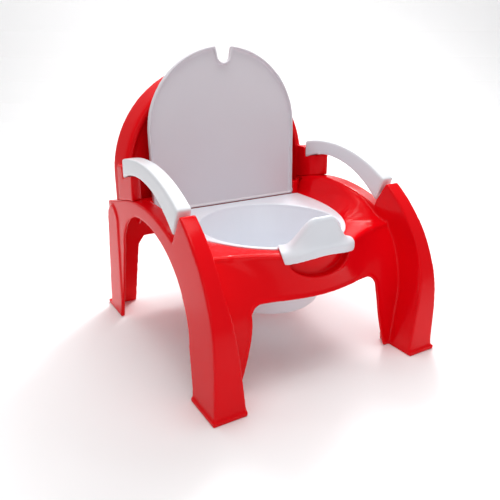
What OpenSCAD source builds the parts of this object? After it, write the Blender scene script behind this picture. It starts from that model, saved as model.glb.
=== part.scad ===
// Potty training chair: a one-piece armchair frame with a plug-in backrest, push-on arm grips,
// a hinged lid and a lift-out pot with a splash guard. Millimetres, +Z up, front towards -Y,
// origin on the floor under the middle of the feet.

/* [Overall] */
// Width over the feet
chair_w = 300; // [250:1:360]
// Depth over the feet
chair_d = 330; // [275:1:396]
// Height of the seat, at the top of the pot's flange
seat_h = 147; // [122:0.5:160]
// Height of the arm grips at their crown
arm_h = 226; // [210:1:250]
// Height of the backrest
back_h = 325; // [300:1:360]
// Wall of the red mouldings
wall = 3; // [2:0.5:4]

/* [Legs] */
// Width of a front leg's band at the foot
band_foot_w = 37; // [30:1:45]
// Depth of the inner return wall behind a front band
band_return = 36.5; // [30:0.5:45]
// How far the sides lean inwards, foot to arm
side_lean = 5.4; // [0:0.1:8]
// Height at which the front legs begin to curve back
curve_z = 60; // [40:1:80]
// Furthest-forward point of the rear half of the arch above the side opening
arch_mid_y = 20; // [10:1:30]
// Height of the side opening
arch_h = 159; // [140:1:160]
// Depth of a front leg seen from the side, at the floor
front_foot_d = 50; // [40:1:60]
// Depth of a rear leg seen from the side, at the floor
rear_foot_d = 52; // [40:1:60]
// Width of a rear leg seen from behind
rear_leg_w = 34; // [25:1:45]
// How far a rear leg's back face slopes out, seat to floor
rear_splay = 10; // [4:1:14]
// Depth of the shoulder behind the backrest
shoulder_d = 12; // [8:1:16]
// How far the raised panel on a rear leg's outer face stands proud
pilaster_out = 2; // [1:0.5:3]
// Width of that raised panel, seen from the side
pilaster_w = 38; // [30:1:42]
// Height of the flared lip round each foot
lip_h = 5; // [3:0.5:8]
// How far the lip stands out
lip_out = 2.5; // [1:0.5:4]

/* [Arms] */
// Width of an arm, seen from above
arm_w = 17; // [14:0.5:22]
// Middle of the arm's curve, along the depth
arm_mid_y = 27.5; // [20:0.5:35]
// Height of the low rail beside the seat
rail_h = 177; // [170:1:185]
// Height of the top of a front leg's band
band_h = 186; // [180:1:195]
// Position of the notch between rail and band
notch_y = -69.5; // [-80:0.5:-60]
// Height of the notch between rail and band
notch_z = 164; // [160:1:170]
// Depth of a grip, crown to underside
grip_t = 19.5; // [15:0.5:25]
// Wall of a grip
grip_wall = 2.5; // [2:0.1:4]
// Back end of a grip
grip_rear_y = 79; // [70:1:90]
// Reach of a grip's underside ahead of the arm's middle
grip_under_ry = 142; // [130:1:150]
// Front of the wing that carries a grip's back end, at its outer face
wing_y = 48; // [40:1:60]

/* [Seat] */
// Radius of the seat's front edge, about the middle of the bowl
seat_r = 108; // [100:0.5:118]
// Angle of the straight flanks of the seat's front edge
flank_a = 30; // [20:1:40]
// Step from the rail's crown down to the edge of the seat's dish
rail_step = 2; // [1:0.5:6]
// Radius of the seat's rolled front edge
edge_roll = 6; // [3:0.5:8]
// Depth of the apron, from the seat down to its lower edge
apron_d = 49.5; // [37:0.5:62]
// Half-width of the front opening just under the apron
opening_half_w = 85; // [70:1:95]
// Half-width of the front opening at the floor
opening_foot_w = 104; // [90:1:108]
// Radius of the front opening's upper corners
opening_r = 14; // [8:1:24]
// Half-width and height of the finger scoop under the guard
scoop = [40, 21]; // [10:1:50]
// Depth of the finger scoop
scoop_d = 8; // [4:1:12]

/* [Backrest] */
// How far the backrest's back edge stands in from the feet's outer faces
back_in = 10.5; // [-2.5:0.5:27.5]
// Height at which the backrest's sides begin to curve in
back_curve_z = 190; // [180:1:210]
// Front face of the backrest's rim
back_y = 98; // [94:1:110]
// Depth of the backrest
back_d = 34; // [25:1:45]
// Draft of the backrest: how much smaller its front outline is
back_draft = 4.5; // [2:0.5:8]
// Width of the rim round the recessed panel
back_rim_w = 9; // [5:1:15]
// Depth of the recessed panel behind the rim
panel_recess = 8; // [3:1:15]

/* [Lid] */
// Width of the lid
lid_w = 210; // [175:1:220]
// Length of the lid
lid_len = 200; // [190:1:210]
// Length of its straight sides
lid_straight = 99; // [90:1:110]
// Thickness over the lid's edge rim
lid_t = 7; // [5:0.5:9]
// Thickness of the lid's plate
lid_plate = 2.5; // [2:0.5:4]
// Width of the finger notch
notch_w = 18; // [14:1:24]
// Depth of the finger notch
notch_d = 20; // [14:1:26]
// How far the open lid leans back, in degrees
lid_lean = 1.5; // [0:0.5:4]
// Height of the hinge pins above the seat
hinge_rise = 4; // [2:0.5:8]
// Distance of the hinge pins behind the lid's front face
hinge_back = 3.6; // [3:0.1:4]
// Radius of the hinge pins
pin_r = 2.6; // [2:0.1:3]
// Length of the hinge pins
pin_len = 7; // [5:0.5:9]
// Height of the hinge lugs above the pins
lug_top = 13; // [11:1:18]

/* [Pot] */
// Radius of the bowl's mouth
bowl_r = 84; // [70:1:90]
// Radius of the bowl's floor, outside
bowl_floor_r = 60; // [50:1:70]
// Depth of the bowl under the flange
bowl_depth = 94; // [80:1:100]
// Middle of the bowl, along the depth
bowl_y = -26.5; // [-30:0.5:-20]
// Wall of the pot
pot_wall = 2.5; // [2:0.1:4]
// Middle of the flange's ellipse, along the depth
flange_mid_y = 50; // [40:1:60]
// Reach of the flange's ellipse ahead of its middle
flange_ry = 170; // [150:1:175]
// Half-width of the flange at its middle
flange_half_w = 113; // [108:0.5:120]
// Height of the splash guard above its root
guard_h = 31.5; // [25:0.5:40]
// Half-width of the splash guard at its root
guard_half_w = 47; // [40:1:55]
// Half-width of the splash guard at its crest
guard_top_half_w = 10; // [6:1:24]
// Drop of the guard's skirt below the seat, at its corners
skirt_d = 11.5; // [7:0.5:17]

/* [Fits] */
// Gap round the pot in its seat
pot_gap = 0.6; // [0.4:0.1:1.5]
// Gap between the lid and what stands beside it
lid_gap = 0.6; // [0.4:0.1:1.5]
// Radial running clearance of the hinge pins
pin_gap = 0.08; // [0.02:0.01:0.1]
// Gap round a grip's tongue in its socket
tongue_gap = 0.2; // [0.1:0.05:0.5]

/* [Hidden] */

red = [0.85, 0.03, 0.06];
white = [0.93, 0.93, 0.95];
grey_white = [0.8, 0.77, 0.8];

big = 1000;                                   // larger than the chair, for cutting planes
hair = 0.05;                                  // hairline between pieces that meet
steps = 48;                                   // points along a full half-curve
foot_x = chair_w / 2 - lip_out;               // outer face of a side at the floor
front_y = -chair_d / 2 + lip_out;             // front face of the front legs
rear_y = chair_d / 2 - lip_out;               // back face of the rear feet
lean = side_lean / arm_h;                     // inward lean per unit of height
arm_in = foot_x - side_lean - arm_w;          // inner face of the arms
arm_ry = arm_mid_y - front_y;                 // the arm curve's semi-axes
arm_rz = arm_h - curve_z;
arch_front_y = front_y + front_foot_d;        // side opening at the floor
arch_rear_y = rear_y - rear_foot_d;
ledge_z = seat_h - pot_wall;                  // what the pot's flange rests on
rear_z = ledge_z + 2 * hair;                  // seat behind the flange, under the lid's hinge
flange_rx = min(flange_half_w, arm_in - 2.5); // half-width of the flange, clear of the arms
apron_z = seat_h - apron_d;                   // lower edge of the apron
skirt_z = seat_h - skirt_d;                   // lower edge of the guard's skirt
under_z = ledge_z - hair - wall;              // underside of the seat's level front
apron_top_z = under_z - hair;
lid_y = grip_rear_y - 0.6;                    // front face of the lid at its hinge
flange_rear_y = lid_y - 1;                    // back edge of the flange
hinge_y = lid_y + hinge_back;
hinge_z = seat_h + hinge_rise;
lug_x = lid_w / 2 + lid_gap + pin_len + 2;    // outer face of the hinge lugs
dish_x = lug_x + 2;                           // where the dish starts beside the lugs
lid_base_z = seat_h - 0.4;                    // lower edge of the open lid
rear_leg_y = back_y + back_d + shoulder_d;    // back face of a rear leg at the seat
back_rx = foot_x - back_in;                   // half-width of the backrest at its back edge
deck_rear_y = rear_leg_y - wall;              // the seat runs back to the rear apron
split_y = grip_rear_y + 3;                    // joint between rail and rear leg
seat_front_y = web_y(apron_top_z);            // front edge of the seat beside the flanks
scoop_z = seat_h - 9;                         // middle of the finger scoop's half-oval
deck_level = seat_h - 1;                      // level part of the seat, outside the flange
dish_run = 45;                                // run over which the dish rises, behind the front edge
rail_sag = 475;                               // square of the run along the rail for each 1 of drop
band_in_z = seat_h - 17;                      // where a band has narrowed to the arm's width
shoulder_z = seat_h + 8;                      // top of a rear leg at its back

side_top = back_h + 50;                       // where the leaning side planes stop, above everything
band_slope = 13;                              // run of the slope down from a band's top to the notch
band_end = 18;                                // run from the notch to where the slope leaves the curve
arch_flat = 5;                                // half of the level crown of the side opening
arch_front_in = 8;                            // how far the opening's front edge comes in below its curve
arch_rear_in = 23;                            // the same at the back
arch_rear_rz = 49;                            // height of the opening's rear curve
strip_a = 130;                                // how far round the arm curve the legs' strips run
web_step = 8;                                 // how much a rear web widens, twice, on its way up
rear_web_x = foot_x - rear_leg_w - 2 * web_step; // inner edge of a rear web, under the seat
pilaster_z = shoulder_z - pilaster_w / 2 - 2; // middle of the rounded top of a rear leg's raised panel
inner_wall_z = seat_h - wall - 6;             // lower edge of the rails' inner walls
level_run = 10;                               // run over which the seat drops under the hinge
hinge_run = 20;                               // run over which the dish narrows, up to the hinge lugs
edge_in = 0.8;                                // how far behind the rolled edge the level part ends
dish_fade = 9.5;                              // run over which the dish ends before the backrest
dish_end = 13;                                // where that begins, ahead of the backrest
wing_above = 5;                               // how far a wing reaches into its grip
wing_top_z = arm_curve_z(grip_rear_y) - 9;    // top of a wing behind its grip
wing_round = [6, 24];                         // inset and depth of a wing's rounded front
tongue_len = [12, 8];                         // length of a grip's front tongue, and of its rear one
tongue_h = [8, 14];                           // their heights
grip_mid_x = foot_x - side_lean - arm_w / 2;  // middle of a grip, across
grip_end = [4, 14];                           // solid ends of a grip, front and rear
stop_w = 12;                                  // the stop that the open lid leans back on
stop_z = hinge_z + 7;                         // its lower edge, above the swing of the lid
lug_front = 4.2;                              // reach of a lug ahead of its pin
notch_flare = 5;                              // how much wider the lid's notch is at its mouth, each side
bowl_step = [9, 34];                          // inset and depth of the bowl's upper wall
bowl_corner = 4;                              // bevel round the bowl's floor
crest_at = 0.62;                              // the guard's crest, as a fraction of the way out to the skirt
crest_r = 0.16;                               // how far the crest rounds over, as such a fraction
crest_drop = 0.2;                             // and how far down, as a fraction of the guard's height
skirt_in = seat_r + pot_gap;                  // inner and outer faces of the guard's skirt
skirt_out = skirt_in + pot_wall;
skirt_rise = 5;                               // how much higher the skirt's lower edge is in the middle
guard_root = [bowl_r + 1, seat_h + pot_wall];

// Curves
function arc_pts(cy, cz, ry, rz, a0, a1, n = steps) =
    [for (i = [0:n]) let (a = a0 + (a1 - a0) * i / n) [cy + ry * cos(a), cz + rz * sin(a)]];
function smooth(t) = let (u = min(1, max(0, t))) u * u * (3 - 2 * u);

// Outer curve of front leg and arm, from the floor up over the crown, inset by i
function arm_curve(i, a_end) = concat([[front_y + i, -1]],
    arc_pts(arm_mid_y, curve_z, arm_ry - i, arm_rz - i, 180, a_end));
// Height of that curve at a given place
function arm_curve_z(y) = curve_z + arm_rz * sqrt(1 - pow((y - arm_mid_y) / arm_ry, 2));
// Front face of the web behind a front band, at a given height
function web_y(z) = let (i = band_return - wall)
    arm_mid_y - (arm_ry - i) * sqrt(1 - pow(max(0, z - curve_z) / (arm_rz - i), 2));
// Height of the rail's crown
function rail_z(y) = rail_h - pow(y - arch_mid_y, 2) / rail_sag;
// Height of a grip's underside
function grip_under(y) = curve_z + (arm_rz - grip_t) * sqrt(1 - pow((y - arm_mid_y) / grip_under_ry, 2));

// Prisms
// Everything between the leaning outer faces of the sides, inset by i
module between_sides(i = 0)
    rotate([90, 0, 0]) translate([0, 0, -big / 2]) linear_extrude(big)
        polygon([[-foot_x + i, -1], [foot_x - i, -1],
            [foot_x - i - lean * side_top, side_top],
            [-foot_x + i + lean * side_top, side_top]]);

// A side-view outline (y, z) run across from x0 to x1
module across(x0, x1)
    translate([x0, 0, 0]) rotate([90, 0, 90]) linear_extrude(x1 - x0) children();

// A front-view outline (x, z) run back from y0 to y1
module along(y0, y1)
    translate([0, y1, 0]) rotate([90, 0, 0]) linear_extrude(y1 - y0) children();

module above(z) translate([-big / 2, -big / 2, z]) cube([big, big, big]);
module on_left() mirror([1, 0, 0]) children();

// Outlines seen from the side
// Material above the side opening
module arch_cut() {
    front = arc_pts(arch_mid_y - arch_flat, curve_z, arch_mid_y - arch_flat - (arch_front_y + arch_front_in),
        arch_h - curve_z, 180, 90);
    rear = arc_pts(arch_mid_y + arch_flat, arch_h - arch_rear_rz,
        arch_rear_y - arch_rear_in - (arch_mid_y + arch_flat), arch_rear_rz, 90, 0);
    polygon(concat([[arch_front_y, -2]], front, rear, [[arch_rear_y, -2]]));
}

// Solid outline of the side, below band, rail and wing
module side_outline(i = 0) {
    top_a = acos((notch_y - band_end - arm_mid_y) / arm_ry);
    band = arm_curve(i, top_a);
    crown = [for (k = [0:12]) let (y = notch_y + (split_y - notch_y) * k / 12) [y, rail_z(y) - i]];
    polygon(concat(band, [[notch_y - band_slope, band_h - i], [notch_y, notch_z - i]], crown,
        [[rear_leg_y - i, shoulder_z - i], [rear_leg_y + rear_splay - i, -1]]));
}

// The seat's plan, as distances from the middle of the bowl
function ray_ellipse(a, rx, ry, ey) =
    let (c = cos(a), s = sin(a), dy = bowl_y - ey,
        qa = pow(c / rx, 2) + pow(s / ry, 2), qb = dy * s / pow(ry, 2), qc = pow(dy / ry, 2) - 1)
    (-qb + sqrt(qb * qb - qa * qc)) / qa;
function ray_x(a, x) = abs(cos(a)) < 0.001 ? big : x / abs(cos(a));
function ray_y(a, y) = (y - bowl_y) * sin(a) <= 0.001 ? big : (y - bowl_y) / sin(a);
function ray_box(a, x, y0, y1) = min(ray_x(a, x), ray_y(a, y0), ray_y(a, y1));
// Front edge: an arc about the bowl, then flanks that leave it as tangents
function ray_front(a) = let (turn = acos(-sin(a)))
    turn < flank_a ? seat_r : turn < flank_a + 80 ? seat_r / cos(turn - flank_a) : 0;
function deck_r(a) = min(ray_x(a, arm_in),
    max(ray_front(a), ray_box(a, arm_in, seat_front_y, deck_rear_y)));
function on_front(a) = bowl_y + deck_r(a) * sin(a) < seat_front_y + 0.5;
function flange_r(a) = let (r = ray_ellipse(a, flange_rx, flange_ry, flange_mid_y))
    bowl_y + r * sin(a) < flange_mid_y ? r : ray_box(a, flange_rx, -big, flange_rear_y);
function plan_pt(a, r) = [r * cos(a), bowl_y + r * sin(a)];

// Half-width of the flange at a given place along the depth
function flange_half(y) = y > flange_mid_y ? flange_rx
    : flange_rx * sqrt(max(0.2, 1 - pow((y - flange_mid_y) / flange_ry, 2)));
// Height of the seat outside the flange: level in front, dished up to the rails, low under the lid's hinge
function deck_z(p) =
    let (x0 = flange_half(p[1]) + max(0, dish_x - flange_rx) * smooth((p[1] - flange_mid_y) / hinge_run),
        side = smooth((abs(p[0]) - x0) / (arm_in - x0)),
        drop = smooth((p[1] - flange_rear_y + level_run + 2) / level_run),
        level = deck_level - (deck_level - rear_z) * drop,
        along_arm = smooth((p[1] - seat_front_y) / dish_run) - smooth((p[1] - back_y + dish_end) / dish_fade))
    level + side * along_arm * max(0, rail_z(p[1]) - rail_step - deck_level);

// One cross-section of the seat, from the bowl outwards and back underneath
function deck_section(a) =
    let (r0 = bowl_r + pot_wall + pot_gap + 1, r1 = min(flange_r(a) + pot_gap, deck_r(a) - edge_roll - 1),
        r2 = deck_r(a), roll = on_front(a) ? edge_roll : 0, r3 = r2 - roll, level = r3 - edge_in - r1,
        rd = min(max(ray_x(a, dish_x), r1 + 0.05 * level), r1 + 0.6 * level),
        inner_rs = concat([r1], [for (k = [0:5]) rd + (r1 + level - rd) * k / 5]),
        inner = [for (r = inner_rs) [r, deck_z(plan_pt(a, r)), 0]],
        outer = [for (q = [30, 60, 90]) let (r = r3 - edge_in + (roll + edge_in) * sin(q))
            [r, deck_z(plan_pt(a, r)), (1 - cos(q)) * (roll > 0 ? deck_level - under_z - 0.3 : 0)]],
        top = concat(inner, outer), n = len(top))
    concat([[r0, ledge_z - hair], [r1 - hair, ledge_z - hair]], [for (q = top) [q[0], q[1] - q[2]]],
        [for (k = [n - 1:-1:0]) let (q = top[k], under = q[1] - wall)
            [q[0], roll > 0 || k < 3 ? min(under, under_z) : under]], [[r0, under_z]]);

// A ring whose section changes round the bowl's axis
module ring(sections, angles) {
    n = len(sections);
    m = len(sections[0]);
    pts = [for (i = [0:n - 1]) for (q = sections[i])
        [q[0] * cos(angles[i]), bowl_y + q[0] * sin(angles[i]), q[1]]];
    faces = [for (i = [0:n - 1]) for (j = [0:m - 1])
        let (a = i * m + j, b = ((i + 1) % n) * m + j,
            c = ((i + 1) % n) * m + (j + 1) % m, d = i * m + (j + 1) % m) each [[a, b, c], [a, c, d]]];
    polyhedron(pts, faces);
}

module seat_deck() color(red) {
    // stations along one side, closer together where the seat falls away under the hinge
    side_ys = concat([for (y = [seat_front_y:8:flange_rear_y - 16]) y],
        [for (y = [flange_rear_y - level_run - 2:3:flange_rear_y + 1]) y],
        [for (y = [back_y - dish_end:2.5:back_y]) y], [back_y + dish_end, deck_rear_y]);
    side_as = [for (y = side_ys) atan2(y - bowl_y, arm_in)];
    // and one in line with the flange's back corner
    corner_a = atan2(flange_rear_y - bowl_y, flange_rx);
    side = concat([for (a = side_as) if (a < corner_a - 0.3) a], [corner_a],
        [for (a = side_as) if (a > corner_a + 0.3) a]);
    n = len(side);
    back = [for (k = [1:11]) side[n - 1] + (180 - 2 * side[n - 1]) * k / 12];
    front = [for (k = [1:43]) 180 - side[0] + (180 + 2 * side[0]) * k / 44];
    angles = concat(side, back, [for (k = [n - 1:-1:0]) 180 - side[k]], front);
    ring([for (a = angles) deck_section(a)], angles);
}

// Front legs
// The band's inner edge, seen from the front
function band_in(z) = foot_x - band_foot_w + (arm_in - foot_x + band_foot_w) * min(1, z / band_in_z);

module band_outline(i) polygon([[band_in(0) + i, -1], [band_in(band_in_z) + i, band_in_z],
    [arm_in + i, back_h], [foot_x + 5, back_h], [foot_x + 5, -1]]);

module foot_lip(y0, y1, x0, x1)
    translate([x0, y0, 0]) cube([x1 - x0, y1 - y0, lip_h]);

// The opening between the front legs: rounded upper corners, sides that spread towards the floor
module front_opening() {
    corner_z = apron_z - opening_r;
    side = [for (k = [0:8]) let (t = k / 8)
        [opening_half_w + (opening_foot_w - opening_half_w) * pow(1 - t, 1.5), corner_z * t]];
    corner = arc_pts(opening_half_w - opening_r, corner_z, opening_r, opening_r, 0, 90, 12);
    half = concat([[opening_foot_w, -1]], side, corner);
    polygon(concat(half, [for (k = [len(half) - 1:-1:0]) [-half[k][0], half[k][1]]]));
}

// A strip that follows the front leg's curve, t thick and i behind it
module curve_strip(i, t, a_end) polygon(concat(arm_curve(i, a_end),
    [for (k = [steps:-1:0]) arm_curve(i + t, a_end)[k + 1]], [[front_y + i + t, -1]]));

module front_leg() color(red) {
    // channel of side wall, band and return wall, open towards the back
    difference() {
        intersection() {
            across(0, big) difference() { side_outline(); arch_cut(); }
            between_sides();
            along(-big, notch_y) band_outline(0);
            above(0);
        }
        intersection() {
            across(0, big) side_outline(wall);
            between_sides(wall);
            along(-big, notch_y + 1) band_outline(wall);
        }
        front_tongue(tongue_gap);
    }
    // return wall, running back from the band's inner edge to the web
    intersection() {
        across(0, big) curve_strip(wall, band_return - wall, strip_a);
        difference() { along(-big, big) band_outline(0); along(-big, big) band_outline(wall); }
        translate([0, -big, 0]) cube([big, big + seat_front_y, apron_top_z]);
    }
    // web running down from the apron, behind the band and in line with its curve
    difference() {
        intersection() {
            across(0, big) curve_strip(band_return - wall, wall, strip_a);
            along(-big, big) difference() {
                polygon([[0, 0], [0, apron_top_z], [band_in(apron_top_z), apron_top_z],
                    [band_in(band_in_z), band_in_z], [band_in(0), 0]]);
                front_opening();
            }
        }
        linear_extrude(big) seat_plan(0);
    }
    // flared lip round the outside of the foot
    difference() {
        foot_lip(front_y - lip_out, arch_front_y, foot_x - band_foot_w, foot_x + lip_out);
        foot_lip(front_y + wall, big, 0, foot_x - wall);
    }
}

// Rear legs
module rear_leg() color(red) {
    // side wall, top and back, open inwards and below
    difference() {
        intersection() {
            across(0, big) rear_outline(0);
            between_sides();
            translate([arm_in, -big / 2, 0]) cube([big, big, big]);
        }
        intersection() {
            across(0, big) rear_outline(wall);
            between_sides(wall);
        }
    }
    // back web, running inwards from the side wall
    intersection() {
        across(0, big) difference() { rear_outline(0); rear_outline(wall); square([rear_leg_y - wall, big]); }
        between_sides(wall);
        along(-big, big) polygon([[foot_x - rear_leg_w, 0], [rear_web_x + web_step, apron_z - 1.5 * web_step],
            [rear_web_x, apron_z], [rear_web_x, apron_top_z], [arm_in, apron_top_z],
            [arm_in, shoulder_z], [big, shoulder_z], [big, 0]]);
    }
    // raised panel on the outer face, with a rounded top
    intersection() {
        across(0, big) intersection() {
            difference() { side_outline(); arch_cut(); }
            union() {
                translate([rear_leg_y - pilaster_w / 2, pilaster_z]) circle(r = pilaster_w / 2, $fn = 48);
                translate([rear_leg_y - pilaster_w, 0]) square([big, pilaster_z]);
            }
        }
        difference() { between_sides(-pilaster_out); between_sides(wall / 2); }
        above(0);
        translate([0, -big / 2, 0]) cube([big, big, big]);
    }
    // flared lip
    difference() {
        foot_lip(arch_rear_y, rear_y + lip_out, foot_x - rear_leg_w, foot_x + lip_out);
        foot_lip(-big, rear_leg_y + rear_splay - wall, 0, foot_x - wall);
    }
}

// Side view of a rear leg behind the joint with the rail
module rear_outline(i) difference() {
    side_outline(i);
    arch_cut();
    translate([split_y - big, -big / 2]) square([big, big]);
}

// Arm rails
module arm_rail() color(red)
    difference() {
        intersection() {
            across(0, big) difference() { side_outline(); arch_cut(); }
            between_sides();
            translate([arm_in, notch_y, 0]) cube([big, split_y - notch_y, big]);
        }
        intersection() {
            across(0, big) side_outline(wall);
            between_sides(wall);
            translate([arm_in + wall, notch_y - 1, 0]) cube([big, split_y - notch_y + 2, big]);
        }
        // the inner wall stops at the seat
        translate([0, -big / 2, -big]) cube([arm_in + wall + 0.01, big, big + inner_wall_z]);
    }

// Wings: the blocks that close the arm opening at the back
module wing() color(red)
    difference() {
        intersection() {
            across(0, big) difference() {
                polygon([[wing_y, seat_h], [wing_y, grip_under(wing_y) + wing_above],
                    [grip_rear_y, grip_under(grip_rear_y) + wing_above], [grip_rear_y + 1, wing_top_z],
                    [back_y, wing_top_z], [back_y, seat_h]]);
                side_outline();
                grip_outline(0);
            }
            between_sides();
            wing_plan();
        }
        rear_tongue(tongue_gap);
    }

// The wing from above: its front is rounded off towards the seat
module wing_plan() linear_extrude(big) polygon(concat([[big, back_y], [big, wing_y]],
    [for (k = [0:8]) let (a = 90 * k / 8, x0 = foot_x - wing_round[0])
        [x0 - (x0 - arm_in) * sin(a), wing_y + wing_round[1] * (1 - cos(a))]], [[arm_in, back_y]]));

// Grips
module grip_outline(i) {
    a0 = acos((grip_rear_y - i - arm_mid_y) / arm_ry);
    a1 = acos((notch_y - band_slope + 1 - arm_mid_y) / arm_ry);
    top = [for (k = [0:steps]) let (a = a1 + (a0 - a1) * k / steps)
        [arm_mid_y + (arm_ry - i) * cos(a), curve_z + (arm_rz - i) * sin(a)]];
    under = [for (k = [0:steps]) let (y = grip_rear_y - i - (grip_rear_y - i - notch_y) * k / steps)
        [y, grip_under(y)]];
    intersection() {
        polygon(concat(top, under));
        // the front end slopes to seat on the leg's band
        translate([hair, 0]) polygon([[notch_y, notch_z], [notch_y - band_slope, band_h],
            [notch_y - band_slope, big], [big, big], [big, 0], [notch_y, 0]]);
    }
}

module front_tongue(gap) {
    z0 = notch_z + 4 - gap;
    x0 = grip_mid_x - arm_w / 2 + wall + 1 - gap;
    translate([x0, notch_y - 2 - tongue_len[0] - gap, z0])
        cube([arm_w - 2 * wall - 3 + 2 * gap, tongue_len[0] + gap, tongue_h[0] + 2 * gap]);
}

module rear_tongue(gap)
    translate([grip_mid_x - arm_w / 4 - gap, grip_rear_y - tongue_len[1] - 2 - gap,
        grip_under(grip_rear_y) - tongue_len[1] - gap])
        cube([arm_w / 2 + 2 * gap, tongue_len[1] + 2 * gap, tongue_h[1] + 2 * gap]);

module grip() color(white) {
    difference() {
        intersection() { across(arm_in, big) grip_outline(0); between_sides(); }
        intersection() {
            across(arm_in + grip_wall, big)
                translate([0, -grip_wall]) difference() {
                    grip_outline(0);
                    translate([grip_rear_y - grip_end[1], 0]) square([big, big]);
                    translate([-big + notch_y + grip_end[0], 0]) square([big, big]);
                }
            between_sides(grip_wall);
        }
    }
    front_tongue(0);
    rear_tongue(0);
}

// Apron
// The seat's front outline from above, inset by i, run on past the arms and the back
module seat_plan(i) {
    r = seat_r - i;
    run = 2 * arm_in;
    right = [for (a = [0:flank_a / 10:flank_a]) [r * sin(a), bowl_y - r * cos(a)]];
    corner = [r * sin(flank_a) + run * cos(flank_a), bowl_y - r * cos(flank_a) + run * sin(flank_a)];
    half = concat(right, [corner, [corner[0], big]]);
    polygon(concat(half, [for (k = [len(half) - 1:-1:0]) [-half[k][0], half[k][1]]]));
}

module scoop_outline(i) polygon(concat(arc_pts(0, scoop_z, scoop[0] + i, scoop[1] + i, 180, 360)));

module front_apron() color(red)
    difference() {
        intersection() {
            union() {
                linear_extrude(big) difference() { seat_plan(hair); seat_plan(wall); }
                intersection() {
                    linear_extrude(big) difference() { seat_plan(0.5); seat_plan(scoop_d + wall); }
                    along(-big, 0) scoop_outline(wall);
                }
            }
            along(-big, 0) difference() {
                translate([-arm_in, 0]) square([2 * arm_in, apron_top_z]);
                front_opening();
            }
        }
        // nothing behind the webs of the front legs
        across(-big / 2, big / 2) polygon(concat(arm_curve(band_return, 90), [[arm_mid_y, -1]]));
        intersection() {
            linear_extrude(big) difference() { seat_plan(-5); seat_plan(scoop_d); }
            along(-big, 0) scoop_outline(0);
        }
    }

module rear_apron() color(red)
    intersection() {
        across(-big / 2, big / 2) difference() {
            side_outline();
            side_outline(wall);
            square([rear_leg_y - wall, big]);
        }
        translate([-rear_web_x, 0, apron_z]) cube([2 * rear_web_x, big, apron_top_z - apron_z]);
    }

// Backrest
module back_outline(i)
    intersection() {
        union() {
            polygon(arc_pts(0, back_curve_z, back_rx - i, back_h - back_curve_z - i, 0, 180, 2 * steps));
            translate([-back_rx + i, 0]) square([2 * (back_rx - i), back_curve_z]);
        }
        translate([-big / 2, rear_z + hair]) square([big, big]);
    }

module backrest_panel() color(red) {
    along(back_y + panel_recess, back_y + panel_recess + wall)
        back_outline(back_draft + back_rim_w);
}

// What stands beside the seat and must be left clear by the backrest
module beside_seat() difference() {
    across(-big / 2, big / 2) side_outline();
    translate([-arm_in, -big / 2, 0]) cube([2 * arm_in, big, big]);
}

module backrest_hoop() color(red) difference() {
    hoop_shell();
    beside_seat();
}

module hoop_shell() {
    // rim facing forwards
    along(back_y, back_y + wall)
        difference() { back_outline(back_draft); back_outline(back_draft + back_rim_w - wall); }
    // step back to the recessed panel
    along(back_y, back_y + panel_recess)
        difference() { back_outline(back_draft + back_rim_w - wall); back_outline(back_draft + back_rim_w); }
    along(back_y + panel_recess, back_y + panel_recess + wall)
        difference() { back_outline(back_draft + back_rim_w - wall); back_outline(back_draft + back_rim_w); }
    // outer wall, flaring towards the back
    for (k = [0:3])
        along(back_y + k * back_d / 4, back_y + (k + 1) * back_d / 4) difference() {
            back_outline(back_draft * (1 - (k + 1) / 4));
            back_outline(back_draft * (1 - (k + 1) / 4) + wall);
        }
}

// Hinge
module pin_axis() translate([0, hinge_y, hinge_z]) rotate([0, 90, 0]) children();

module hinge_lug() {
    x0 = lid_w / 2 + lid_gap;
    lug_w = lug_x - x0;
    difference() {
        // arm reaching forwards from the backrest, beside the lid
        translate([x0, hinge_y - lug_front, rear_z + hair])
            cube([lug_w, back_y - hinge_y + lug_front, hinge_z + lug_top - rear_z]);
        pin_axis() cylinder(r = pin_r + pin_gap, h = x0 + pin_len + 0.5, $fn = 48);
    }
    // stop behind the open lid, above the swing of its lower edge
    translate([x0 - stop_w, lid_y + lid_t + 1, stop_z])
        cube([stop_w + lug_w, back_y - lid_y - lid_t - 1, hinge_z + lug_top - stop_z]);
}

module hinge_lugs() color(red) { hinge_lug(); on_left() hinge_lug(); }

// Lid
module lid_outline(i)
    difference() {
        union() {
            polygon(arc_pts(0, lid_straight, lid_w / 2 - i, lid_len - lid_straight - i, 0, 180, 2 * steps));
            translate([-lid_w / 2 + i, i]) square([lid_w - 2 * i, lid_straight - i]);
        }
        // finger notch with a flared mouth
        translate([0, lid_len - notch_d + notch_w / 2]) circle(r = notch_w / 2 + i, $fn = 48);
        translate([0, lid_len - notch_d + notch_w / 2]) polygon([[-notch_w / 2 - i, 0], [notch_w / 2 + i, 0],
            [notch_w / 2 + notch_flare + i, notch_d], [-notch_w / 2 - notch_flare - i, notch_d]]);
    }

module lid_panel() color(grey_white) {
    translate([0, hinge_y, hinge_z]) rotate([-lid_lean, 0, 0])
        translate([0, -hinge_y, -hinge_z]) translate([0, 0, lid_base_z]) {
            // plate at the back, rim standing forwards round it
            along(lid_y + lid_t - lid_plate, lid_y + lid_t) lid_outline(0);
            along(lid_y, lid_y + lid_t - lid_plate) difference() { lid_outline(0); lid_outline(lid_plate); }
        }
    // stub pins
    for (s = [-1, 1]) translate([s > 0 ? lid_w / 2 - 3 : -lid_w / 2 - pin_len + 0.5, 0, 0])
        pin_axis() cylinder(r = pin_r, h = pin_len + 2.5, $fn = 48);
}

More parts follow.
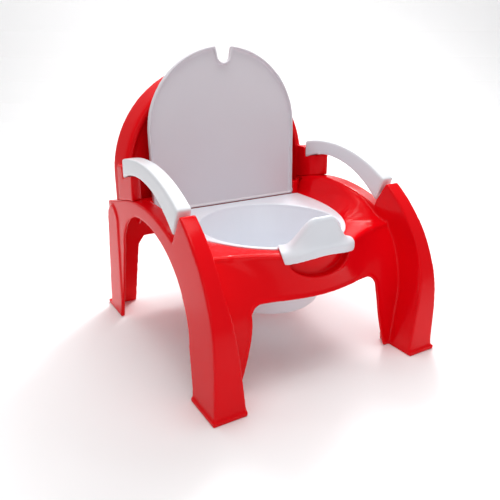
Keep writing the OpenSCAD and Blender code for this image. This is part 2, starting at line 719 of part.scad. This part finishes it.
// Pot
module pot_bowl() color(white)
    translate([0, bowl_y, 0]) rotate_extrude($fn = 96) {
        zf = ledge_z - bowl_depth + pot_wall;
        polygon([[0, zf], [bowl_floor_r - bowl_corner, zf], [bowl_floor_r, zf + bowl_corner],
            [bowl_r - bowl_step[0], ledge_z - bowl_step[1]], [bowl_r + pot_wall, ledge_z], [bowl_r, ledge_z],
            [bowl_r - bowl_step[0] - pot_wall, ledge_z - bowl_step[1]],
            [bowl_floor_r - pot_wall, zf + bowl_corner + 1], [bowl_floor_r - bowl_corner - 1, zf + pot_wall],
            [0, zf + pot_wall]]);
    }

module flange_plan() polygon([for (a = [0:3:357]) plan_pt(a, flange_r(a))]);

module pot_flange() color(white)
    difference() {
        translate([0, 0, ledge_z]) linear_extrude(pot_wall) intersection() {
            flange_plan();
            seat_plan(edge_roll + 2);
        }
        translate([0, bowl_y, 0]) cylinder(r = bowl_r, h = big, $fn = 96);
    }

// The guard is one wall that rises from the bowl's mouth, folds over its crest and comes down as a
// skirt over the seat's front edge. A section is a list of [distance from the bowl's axis, height];
// it lies flat at the guard's ends and stands full height in the middle.
function guard_rise(t) = let (top = guard_top_half_w / guard_half_w) 1 - smooth((t - top) / (1 - top));
guard_full = concat([for (k = [0:5]) [crest_at * k / 6, sin(15 * k)]],
    [for (k = [0:2]) [crest_at + crest_r * sin(30 * k), 1 - crest_drop * (1 - cos(30 * k))]],
    [for (k = [0:3]) [1 - (1 - crest_at - crest_r) * cos(30 * k), (1 - crest_drop) * (1 - sin(30 * k))]]);
guard_flat = [for (k = [0:12]) [k / 12, 0]];
function guard_pt(f) = [guard_root[0] + f[0] * (skirt_out - guard_root[0]), guard_root[1] + f[1] * guard_h];
function guard_outer(t) = let (h = guard_rise(t))
    concat([for (k = [0:12]) guard_pt(guard_flat[k] * (1 - h) + guard_full[k] * h)],
        [[skirt_out, seat_h - wall], [skirt_out, skirt_z + skirt_rise * smooth(1 - t)]]);
function normal_of(p, q) = let (d = q - p) [d[1], -d[0]] / norm(d);
function guard_inner(t) = let (o = guard_outer(t), n = len(o), last = n - 3)
    [for (k = [n - 1:-1:0])
        let (v = normal_of(o[max(0, k - 1)], o[min(n - 1, k + 1)]), q = o[k] + v * pot_wall,
            nearest = guard_root[0] + pot_wall + 0.2 * k, furthest = skirt_in - 0.25 * (last - k))
        k > last ? [skirt_in, o[k][1]]
        : k == 0 || k == last ? [k == 0 ? nearest : skirt_in, seat_h + hair]
        : [min(max(q[0], nearest), furthest), max(q[1], seat_h + hair)]];

module splash_guard() color(white) {
    turn = asin(guard_half_w / skirt_out);
    n = 28;
    sweep([for (k = [-n:n]) let (t = abs(k) / n)
        concat([[guard_root[0], seat_h + hair]], guard_outer(t), guard_inner(t))],
        [for (k = [-n:n]) 270 + turn * k / n]);
}

// Sections stood side by side about the bowl's axis, closed at both ends
module sweep(sections, angles) {
    n = len(sections);
    m = len(sections[0]);
    pts = [for (i = [0:n - 1]) for (q = sections[i])
        [q[0] * cos(angles[i]), bowl_y + q[0] * sin(angles[i]), q[1]]];
    sides = [for (i = [0:n - 2]) for (j = [0:m - 1])
        let (a = i * m + j, b = a + m, c = (i + 1) * m + (j + 1) % m, d = i * m + (j + 1) % m)
        each [[a, b, c], [a, c, d]]];
    last = (n - 1) * m;
    ends = concat(section_end(m), [for (f = section_end(m)) [for (k = [len(f) - 1:-1:0]) f[k] + last]]);
    polyhedron(pts, concat(sides, ends));
}
// Faces that close a section, from its outer points to the inner ones behind them
function section_end(m) = concat([[0, 1, m - 1]],
    [for (k = [1:(m - 3) / 2]) [k, k + 1, m - k - 1, m - k]]);

seat_deck();
front_apron();
rear_apron();
on_left() front_leg();  // left_front_leg
front_leg();  // right_front_leg
on_left() rear_leg();  // left_rear_leg
rear_leg();  // right_rear_leg
on_left() arm_rail();  // left_arm_rail
arm_rail();  // right_arm_rail
on_left() wing();  // left_wing
wing();  // right_wing
backrest_panel();
backrest_hoop();
hinge_lugs();
on_left() grip();  // left_grip
grip();  // right_grip
lid_panel();
pot_bowl();
pot_flange();
splash_guard();
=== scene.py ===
import math
import bpy
import bmesh
from mathutils import Matrix, Vector


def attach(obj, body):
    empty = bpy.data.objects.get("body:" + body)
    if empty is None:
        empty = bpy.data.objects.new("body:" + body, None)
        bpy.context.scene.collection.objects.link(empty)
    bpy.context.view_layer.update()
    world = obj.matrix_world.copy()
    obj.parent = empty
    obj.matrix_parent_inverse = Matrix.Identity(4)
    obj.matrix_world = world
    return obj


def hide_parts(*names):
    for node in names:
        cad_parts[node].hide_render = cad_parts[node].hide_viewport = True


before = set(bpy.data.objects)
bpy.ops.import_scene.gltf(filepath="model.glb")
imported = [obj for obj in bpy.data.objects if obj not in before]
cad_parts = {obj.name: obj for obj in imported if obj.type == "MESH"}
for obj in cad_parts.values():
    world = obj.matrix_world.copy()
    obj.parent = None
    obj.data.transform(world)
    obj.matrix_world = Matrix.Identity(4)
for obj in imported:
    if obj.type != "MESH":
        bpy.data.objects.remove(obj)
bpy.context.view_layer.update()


def mm(x, y, z):  # a point given in millimetres
    return Vector((x, y, z)) * 0.001


def span(count):  # fractions from 0 to 1, both ends included
    return [k / count for k in range(count + 1)]


def quarter(t):  # sine and cosine of a share of a quarter turn
    return math.sin(math.pi / 2 * t), math.cos(math.pi / 2 * t)


def smoothStep(t):
    t = min(1.0, max(0.0, t))
    return t * t * (3 - 2 * t)


class Sock:  # a node socket that takes part in arithmetic
    def __init__(self, finish, socket):
        self.finish, self.socket = finish, socket

    def calc(self, operation, *others):
        return self.finish.node("ShaderNodeMath", dict(operation=operation), self, *others)

    def __add__(self, other): return self.calc("ADD", other)
    def __radd__(self, other): return self.calc("ADD", other)
    def __rmul__(self, other): return self.calc("MULTIPLY", other)


class Finish:  # one procedural material
    def __init__(self, name):
        self.material = bpy.data.materials.new(name)
        self.material.use_nodes = True
        self.tree = self.material.node_tree
        self.shader = self.tree.nodes["Principled BSDF"]

    def join(self, value, target):
        if isinstance(value, Sock):
            self.tree.links.new(value.socket, target)
        else:
            target.default_value = value

    def node(self, kind, settings, *inputs, out=0, **named):
        made = self.tree.nodes.new(kind)
        for key, value in settings.items():
            setattr(made, key, value)
        for slot, value in list(enumerate(inputs)) + list(named.items()):
            self.join(value, made.inputs[slot])
        return Sock(self, made.outputs[out])

    def place(self):
        return self.node("ShaderNodeTexCoord", {}, out="Object")

    def noise(self, scale, detail=2.0):
        return self.node("ShaderNodeTexNoise", {}, Vector=self.place(), Scale=scale, Detail=detail)

    def blend(self, factor, first, second):
        mixed = self.tree.nodes.new("ShaderNodeMix")
        mixed.data_type = "RGBA"
        for slot, value in ((0, factor), (6, first), (7, second)):
            self.join(value, mixed.inputs[slot])
        return Sock(self, mixed.outputs[2])

    def bump(self, height, strength):
        return self.node("ShaderNodeBump", {}, Height=height, Strength=strength, Distance=0.0004)

    def feed(self, **sockets):
        for key, value in sockets.items():
            self.join(value, self.shader.inputs[key.replace("_", " ")])


def mouldedPlastic(name, base, drift, roughness, peel, specular, coat):
    # two shades that drift into each other, fine wear in the gloss and a faint orange peel
    f = Finish(name)
    f.feed(Base_Color=f.blend(f.noise(9.0, 3.0), base, drift))
    f.feed(Roughness=roughness + 0.08 * f.noise(40.0, 4.0) + 0.03 * f.noise(700.0))
    f.feed(IOR=1.49, Specular_IOR_Level=specular, Coat_Weight=coat, Coat_Roughness=0.06)
    f.feed(Normal=f.bump(f.noise(120.0, 3.0) + 0.15 * f.noise(900.0), peel))
    return f.material


plastics = dict(
    redPlastic=dict(base=(0.84, 0.002, 0.006, 1), drift=(0.76, 0.001, 0.005, 1),
                    roughness=0.11, peel=0.10, specular=0.09, coat=0.08),
    backPlastic=dict(base=(0.82, 0.002, 0.006, 1), drift=(0.74, 0.001, 0.005, 1),
                     roughness=0.13, peel=0.10, specular=0.09, coat=0.08),
    gripPlastic=dict(base=(0.83, 0.84, 0.87, 1), drift=(0.77, 0.78, 0.82, 1),
                     roughness=0.25, peel=0.22, specular=0.5, coat=0.0),
    # the lid's white plastic is darkened to a grey-pink as painted shade, standing in for the shade on its
    # front-facing panel
    lidPlasticPaintedShade=dict(base=(0.74, 0.71, 0.75, 1), drift=(0.69, 0.66, 0.71, 1),
                    roughness=0.40, peel=0.06, specular=0.35, coat=0.0),
    potPlastic=dict(base=(0.82, 0.84, 0.89, 1), drift=(0.77, 0.79, 0.85, 1),
                    roughness=0.24, peel=0.06, specular=0.45, coat=0.0))
plastic = {name: mouldedPlastic(name, **look) for name, look in plastics.items()}
print("materials ready", len(plastic))


def makeObject(name, bm, material):
    mesh = bpy.data.meshes.new(name)
    bm.to_mesh(mesh)
    bm.free()
    obj = bpy.data.objects.new(name, mesh)
    bpy.context.scene.collection.objects.link(obj)
    mesh.materials.append(material)
    return obj


def bake(obj):  # turn the modifiers into plain mesh
    bpy.context.view_layer.update()
    mesh = bpy.data.meshes.new_from_object(obj.evaluated_get(bpy.context.evaluated_depsgraph_get()))
    obj.modifiers.clear()
    obj.data = mesh
    for polygon in mesh.polygons:
        polygon.use_smooth = True


def fuse(obj, build, reshape=None):  # one skin over overlapping shells, softened and thinned out
    remesh = obj.modifiers.new("fuse", "REMESH")
    remesh.mode = "VOXEL"
    remesh.voxel_size = build["voxel"]
    if reshape:
        bake(obj)
        reshape(obj)
    soften = obj.modifiers.new("soften", "SMOOTH")
    soften.factor = 0.5
    soften.iterations = build["rounds"]
    bake(obj)
    count = 2 * len(obj.data.polygons)
    if count > build["limit"]:
        thin = obj.modifiers.new("thin", "DECIMATE")
        thin.ratio = build["limit"] / count
        bake(obj)
    return obj


def addShell(target, shell):  # the faces of one mesh under construction into another
    mesh = bpy.data.meshes.new("copy")
    shell.to_mesh(mesh)
    shell.free()
    target.from_mesh(mesh)
    bpy.data.meshes.remove(mesh)


def nodeCopies(names, lowered=(), drop=0.0):  # merged copies of CAD nodes, some backed by a lowered one
    bm = bmesh.new()
    for name, depth in [(name, 0.0) for name in names] + [(name, drop) for name in lowered]:
        part = bmesh.new()
        part.from_mesh(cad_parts[name].data)
        bmesh.ops.translate(part, vec=(0, 0, -depth), verts=part.verts)
        bmesh.ops.remove_doubles(part, verts=part.verts, dist=0.00001)
        addShell(bm, part)
    return bm


def loft(bm, rings):  # a closed shell over rings of points, in millimetres
    rows = [[bm.verts.new(mm(*p)) for p in ring] for ring in rings]
    for low, high in zip(rows, rows[1:]):
        for k in range(len(low)):
            n = (k + 1) % len(low)
            bm.faces.new((low[k], low[n], high[n], high[k]))
    bm.faces.new(rows[0][::-1])
    bm.faces.new(rows[-1])


def bead(bm, path, radius, sides=8):  # a round bead along a path
    rings = []
    for k, p in enumerate(path):
        ahead = (Vector(path[min(k + 1, len(path) - 1)]) - Vector(path[max(k - 1, 0)])).normalized()
        side = ahead.cross(Vector((0, 0, 1)) if abs(ahead.z) < 0.9 else Vector((0, 1, 0))).normalized()
        up = side.cross(ahead)
        rings.append([Vector(p) + radius * (math.cos(a) * side + math.sin(a) * up)
                      for a in (math.tau * j / sides for j in range(sides))])
    loft(bm, rings)


def finishPiece(obj, body, names):
    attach(obj, body)
    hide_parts(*names)
    print("made", obj.name, len(obj.data.polygons), "faces")


# seat, aprons, legs and arm rails
chair = dict(voxel=0.00115, rounds=12, limit=190000, backing=0.0015,
             centreY=-26.5, edgeR=108.0, flank=30.0, top=149.0, scoop=(40.0, 21.0, 138.0),
             archTop=97.5, archHalf=85.0, archFoot=104.0, archRound=14.0,
             midY=27.5, baseZ=60.0, ry=190.0, rz=166.0, web=33.5, webTop=141.9, innerX=124.0,
             crease=22.0, ahead=3.0, skin=4.0, reach=16.0,
             lipRound=1.9, lipOut=0.4, rimRound=1.3, rimOut=0.3, rimGap=0.6)
frameNodes = ["seat_deck", "front_apron", "rear_apron", "left_front_leg", "right_front_leg",
              "left_rear_leg", "right_rear_leg", "left_arm_rail", "right_arm_rail"]


def flankY(x):  # front face of the seat's edge
    r, a = chair["edgeR"], math.radians(chair["flank"])
    x = abs(x)
    if x < r * math.sin(a):
        return chair["centreY"] - math.sqrt(r * r - x * x)
    return chair["centreY"] - r * math.cos(a) + (x - r * math.sin(a)) * math.tan(a)


def webY(z):  # front face of a leg's web
    ry, rz = chair["ry"] - chair["web"], chair["rz"] - chair["web"]
    return chair["midY"] - ry * math.sqrt(1 - (max(0.0, z - chair["baseZ"]) / rz) ** 2)


def creaseShift(x, z):  # how far the soft crease stands ahead of where flank and web meet
    apart = abs(flankY(x) - webY(min(z, chair["webTop"])))
    return (max(0.0, chair["crease"] - apart) / chair["crease"]) ** 2 * chair["crease"] / 4


def softenCrease(obj):  # a fillet where flank and web meet, fading out behind the skin
    for vertex in obj.data.vertices:
        x, y, z = vertex.co * 1000
        if z < chair["top"] and abs(x) < chair["innerX"]:
            behind = y - min(flankY(x), webY(min(z, chair["webTop"])))
            if -chair["ahead"] < behind < chair["reach"]:
                hold = 1 - smoothStep((behind - chair["skin"]) / (chair["reach"] - chair["skin"]))
                vertex.co.y -= creaseShift(x, z) * hold * 0.001


def archEdge():  # edge of the opening between the front legs, right half, floor to middle
    half, turn = chair["archHalf"], chair["archRound"]
    corner = chair["archTop"] - turn
    edge = [(half + (chair["archFoot"] - half) * (1 - t) ** 1.5, corner * t) for t in span(24)]
    for sine, cosine in map(quarter, span(12)[1:]):
        edge.append((half - turn * (1 - cosine), corner + turn * sine))
    return edge + [((half - turn) * (1 - t), chair["archTop"]) for t in span(30)[1:]]


def frontBeads(bm):  # rounded edges along the opening and round the finger scoop
    lip, out = chair["lipRound"], chair["lipOut"]
    right = [(x, min(flankY(x), webY(z)) + out, max(z, lip)) for x, z in archEdge()]
    bead(bm, right + [(-x, y, z) for x, y, z in reversed(right[:-1])], lip)
    half, high, middle = chair["scoop"]
    rim = []
    for t in span(40):
        x = -(half + chair["rimGap"]) * math.cos(math.pi * t)
        z = middle - (high + chair["rimGap"]) * math.sin(math.pi * t)
        rim.append((x, flankY(x) + chair["rimOut"], z))
    bead(bm, rim, chair["rimRound"])


frameMesh = nodeCopies(frameNodes, ["seat_deck"], chair["backing"])
frontBeads(frameMesh)
chairFrame = fuse(makeObject("chairFrame", frameMesh, plastic["redPlastic"]), chair, softenCrease)
finishPiece(chairFrame, "chair", frameNodes)

# hoop and panel, with the wings and lugs that belong to it
back = dict(voxel=0.00115, rounds=10, limit=150000, rx=137.0, rz=135.0, curveZ=190.0, footZ=144.7, steps=72,
            sideSteps=8)
backNodes = ["backrest_panel", "backrest_hoop", "left_wing", "right_wing", "hinge_lugs"]


def backOutline(inset, y):  # the backrest's arched outline, inset, at one depth
    rx, rz = back["rx"] - inset, back["rz"] - inset
    straight = [back["footZ"] + (back["curveZ"] - back["footZ"]) * t for t in span(back["sideSteps"])[:-1]]
    arch = [(rx * math.cos(math.pi * t), y, back["curveZ"] + rz * math.sin(math.pi * t))
            for t in span(back["steps"])]
    return [(rx, y, z) for z in straight] + arch + [(-rx, y, z) for z in reversed(straight)]


def backShell():  # points of the section are [inset, depth], from the panel's back round the rim to its front
    bm = bmesh.new()
    section = [(30, 109.2), (11.2, 109.2), (10.8, 101.6), (7.6, 101.2), (7.0, 103.0), (3.1, 132.0),
               (0.1, 131.9), (1.0, 124.0), (2.2, 115.0), (3.4, 106.0), (4.3, 100.8), (5.6, 98.6),
               (7.4, 98.05), (11.0, 98.05), (12.8, 98.7), (13.5, 100.5), (13.7, 103.6), (14.4, 105.6),
               (16.4, 106.3), (30, 106.3)]
    loft(bm, [backOutline(inset, y) for inset, y in section])
    return bm


backMesh = nodeCopies(backNodes[2:])
addShell(backMesh, backShell())
backrest = fuse(makeObject("backrest", backMesh, plastic["backPlastic"]), back)
finishPiece(backrest, "chair", backNodes)

gripBuild = dict(voxel=0.001, rounds=34, limit=60000)
for side in ("left", "right"):
    grip = fuse(makeObject(side + "Grip", nodeCopies([side + "_grip"]), plastic["gripPlastic"]), gripBuild)
    finishPiece(grip, "chair", [side + "_grip"])

lidBuild = dict(voxel=0.00095, rounds=7, limit=150000)
lid = fuse(makeObject("lid", nodeCopies(["lid_panel"]), plastic["lidPlasticPaintedShade"]), lidBuild)
finishPiece(lid, "lid", ["lid_panel"])

# bowl, flange and splash guard
potShape = dict(voxel=0.00095, rounds=9, limit=190000, wall=2.5, columns=60,
                rootR=85.0, rootZ=149.5, height=31.5, half=47.0, topHalf=10.0,
                crestAt=0.62, crestRound=0.16, crestDrop=0.2, skirtR=111.1, skirtZ=135.5, skirtRise=5.0,
                endRoll=9.0, endWide=5.0, endLean=0.3, footZ=146.5, underZ=147.05, underDrop=1.9, fan=0.1)
potNodes = ["pot_bowl", "pot_flange", "splash_guard"]


def guardProfile():  # the guard in its middle as [share of the way out, share of the height]
    crest, turn, drop = potShape["crestAt"], potShape["crestRound"], potShape["crestDrop"]
    inner = [(crest * t, quarter(t)[0]) for t in span(12)[:-1]]
    over = [(crest + turn * sine, 1 - drop * (1 - cosine)) for sine, cosine in map(quarter, span(6)[:-1])]
    outer = [(1 - (1 - crest - turn) * cosine, (1 - drop) * (1 - sine))
             for sine, cosine in map(quarter, span(9))]
    return inner + over + outer


def guardFace(t):  # outer face as [distance from the bowl's axis, height], t from middle to end
    top = potShape["topHalf"] / potShape["half"]
    rise = 1 - smoothStep((t - top) / (1 - top))
    full = guardProfile()
    face = []
    for k, (across, up) in enumerate(full):
        flat = k / (len(full) - 1)
        r = potShape["rootR"] + (flat + (across - flat) * rise) * (potShape["skirtR"] - potShape["rootR"])
        over = max(0.0, r - potShape["skirtR"] + potShape["endRoll"]) / potShape["endRoll"]
        rolled = potShape["endRoll"] * (1 - math.sqrt(max(0.0, 1 - over * over))) * (1 - rise)
        face.append((r, potShape["rootZ"] + up * rise * potShape["height"] - rolled))
    low = potShape["skirtZ"] + potShape["skirtRise"] * smoothStep(1 - t)
    return face + [(potShape["skirtR"], face[-1][1] + (low - face[-1][1]) * t) for t in span(3)[1:]]


def guardSpread(t, z):  # the ends lean outwards towards the flange
    share = (min(z, potShape["rootZ"]) - potShape["skirtZ"]) / (potShape["rootZ"] - potShape["skirtZ"])
    return t * (1 + abs(t) ** 6 * potShape["endWide"] / potShape["half"] * (share - potShape["endLean"]))


def guardSection(t):  # the outer face, and behind it the hidden one, a wall away and clear of the seat
    face = guardFace(t)
    last = len(face) - 4
    wall, rootR = potShape["wall"], face[0][0]
    hidden = [(rootR + wall, potShape["footZ"])]
    for k in range(1, len(face)):
        p, q = face[k - 1], face[min(len(face) - 1, k + 1)]
        dx, dz = q[0] - p[0], q[1] - p[1]
        length = math.hypot(dx, dz)
        r = max(face[k][0] + wall * dz / length, rootR + wall + potShape["fan"] * k)
        r = min(r, potShape["skirtR"] - wall - potShape["fan"] * max(0, last - k))
        floor = min(potShape["underZ"], face[k][1] - potShape["underDrop"])
        z = face[k][1] if k > last else max(face[k][1] - wall * dx / length, floor)
        hidden.append((r, z))
    return [(rootR, potShape["footZ"])] + face + hidden[::-1]


def guardShell():
    bm = bmesh.new()
    turn = math.asin(potShape["half"] / potShape["skirtR"])
    rings = []
    for k in range(-potShape["columns"], potShape["columns"] + 1):
        t = k / potShape["columns"]
        ring = [(r, z, turn * guardSpread(t, z)) for r, z in guardSection(abs(t))]
        rings.append([(r * math.sin(a), chair["centreY"] - r * math.cos(a), z) for r, z, a in ring])
    loft(bm, rings)
    return bm


potMesh = nodeCopies(potNodes[:2])
addShell(potMesh, guardShell())
pot = fuse(makeObject("pot", potMesh, plastic["potPlastic"]), potShape)
finishPiece(pot, "pot", potNodes)

# studio: a sheet of paper that curves up behind the chair, soft lights and the camera
view = dict(place=(-0.3464, -0.5675, 0.3484), heading=-30.52, dip=20.22, lens=40.32, sensor=36)
sheet = dict(half=3.0, front=-2.5, turn=1.1, radius=0.6, top=2.6)
worldLight = 0.4
lights = dict(
    skyLight=dict(place=(0.75, 0.75, 1.25), target=(0, 0, 0.15), size=(0.9, 0.9), power=9),
    windowLight=dict(place=(0.72, 0.70, 1.20), target=(0, 0, 0.15), size=(0.26, 0.26), power=7),
    topLight=dict(place=(-0.1, -0.1, 1.6), target=(0, 0, 0.1), size=(1.2, 0.9), power=12),
    keyLight=dict(place=(-0.5, -1.5, 0.9), target=(0, 0, 0.15), size=(0.9, 0.9), power=2.5),
    backLight=dict(place=(0.35, 0.60, 1.7), target=(1.0, 1.7, 0.2), size=(2.4, 0.4), power=9))

paper = Finish("paper")
paper.feed(Base_Color=(0.95, 0.95, 0.955, 1), Roughness=0.9, Specular_IOR_Level=0.1)
paperMesh = bmesh.new()
profile = [(sheet["front"], 0.0), (sheet["turn"], 0.0)]
profile += [(sheet["turn"] + sheet["radius"] * sine, sheet["radius"] * (1 - cosine))
            for sine, cosine in map(quarter, span(9)[1:])]
profile += [(sheet["turn"] + sheet["radius"], sheet["top"])]
rows = [[paperMesh.verts.new((x, y, z)) for x in (-sheet["half"], sheet["half"])] for y, z in profile]
for low, high in zip(rows, rows[1:]):
    paperMesh.faces.new((low[0], low[1], high[1], high[0]))
turnToView = Matrix.Rotation(math.radians(view["heading"]), 4, "Z")
bmesh.ops.transform(paperMesh, matrix=turnToView, verts=paperMesh.verts)
makeObject("backdrop", paperMesh, paper.material)

world = bpy.data.worlds.new("studio")
world.use_nodes = True
world.node_tree.nodes["Background"].inputs[0].default_value = (1.0, 1.0, 1.0, 1)
world.node_tree.nodes["Background"].inputs[1].default_value = worldLight
bpy.context.scene.world = world


def softBox(name, place, target, size, power):
    light = bpy.data.lights.new(name, "AREA")
    light.shape = "RECTANGLE"
    light.size, light.size_y = size
    light.energy = power
    obj = bpy.data.objects.new(name, light)
    obj.location = place
    obj.rotation_euler = (Vector(target) - Vector(place)).to_track_quat("-Z", "Y").to_euler()
    bpy.context.scene.collection.objects.link(obj)


for name, light in lights.items():
    softBox(name, **light)
print("studio lit by", len(lights), "lights")

camera = bpy.data.objects.new("camera", bpy.data.cameras.new("camera"))
camera.data.lens = view["lens"]
camera.data.sensor_width = view["sensor"]
camera.location = view["place"]
camera.rotation_euler = (math.radians(90 - view["dip"]), 0, math.radians(view["heading"]))
bpy.context.scene.collection.objects.link(camera)
bpy.context.scene.camera = camera
bpy.context.scene.view_settings.view_transform = "Standard"
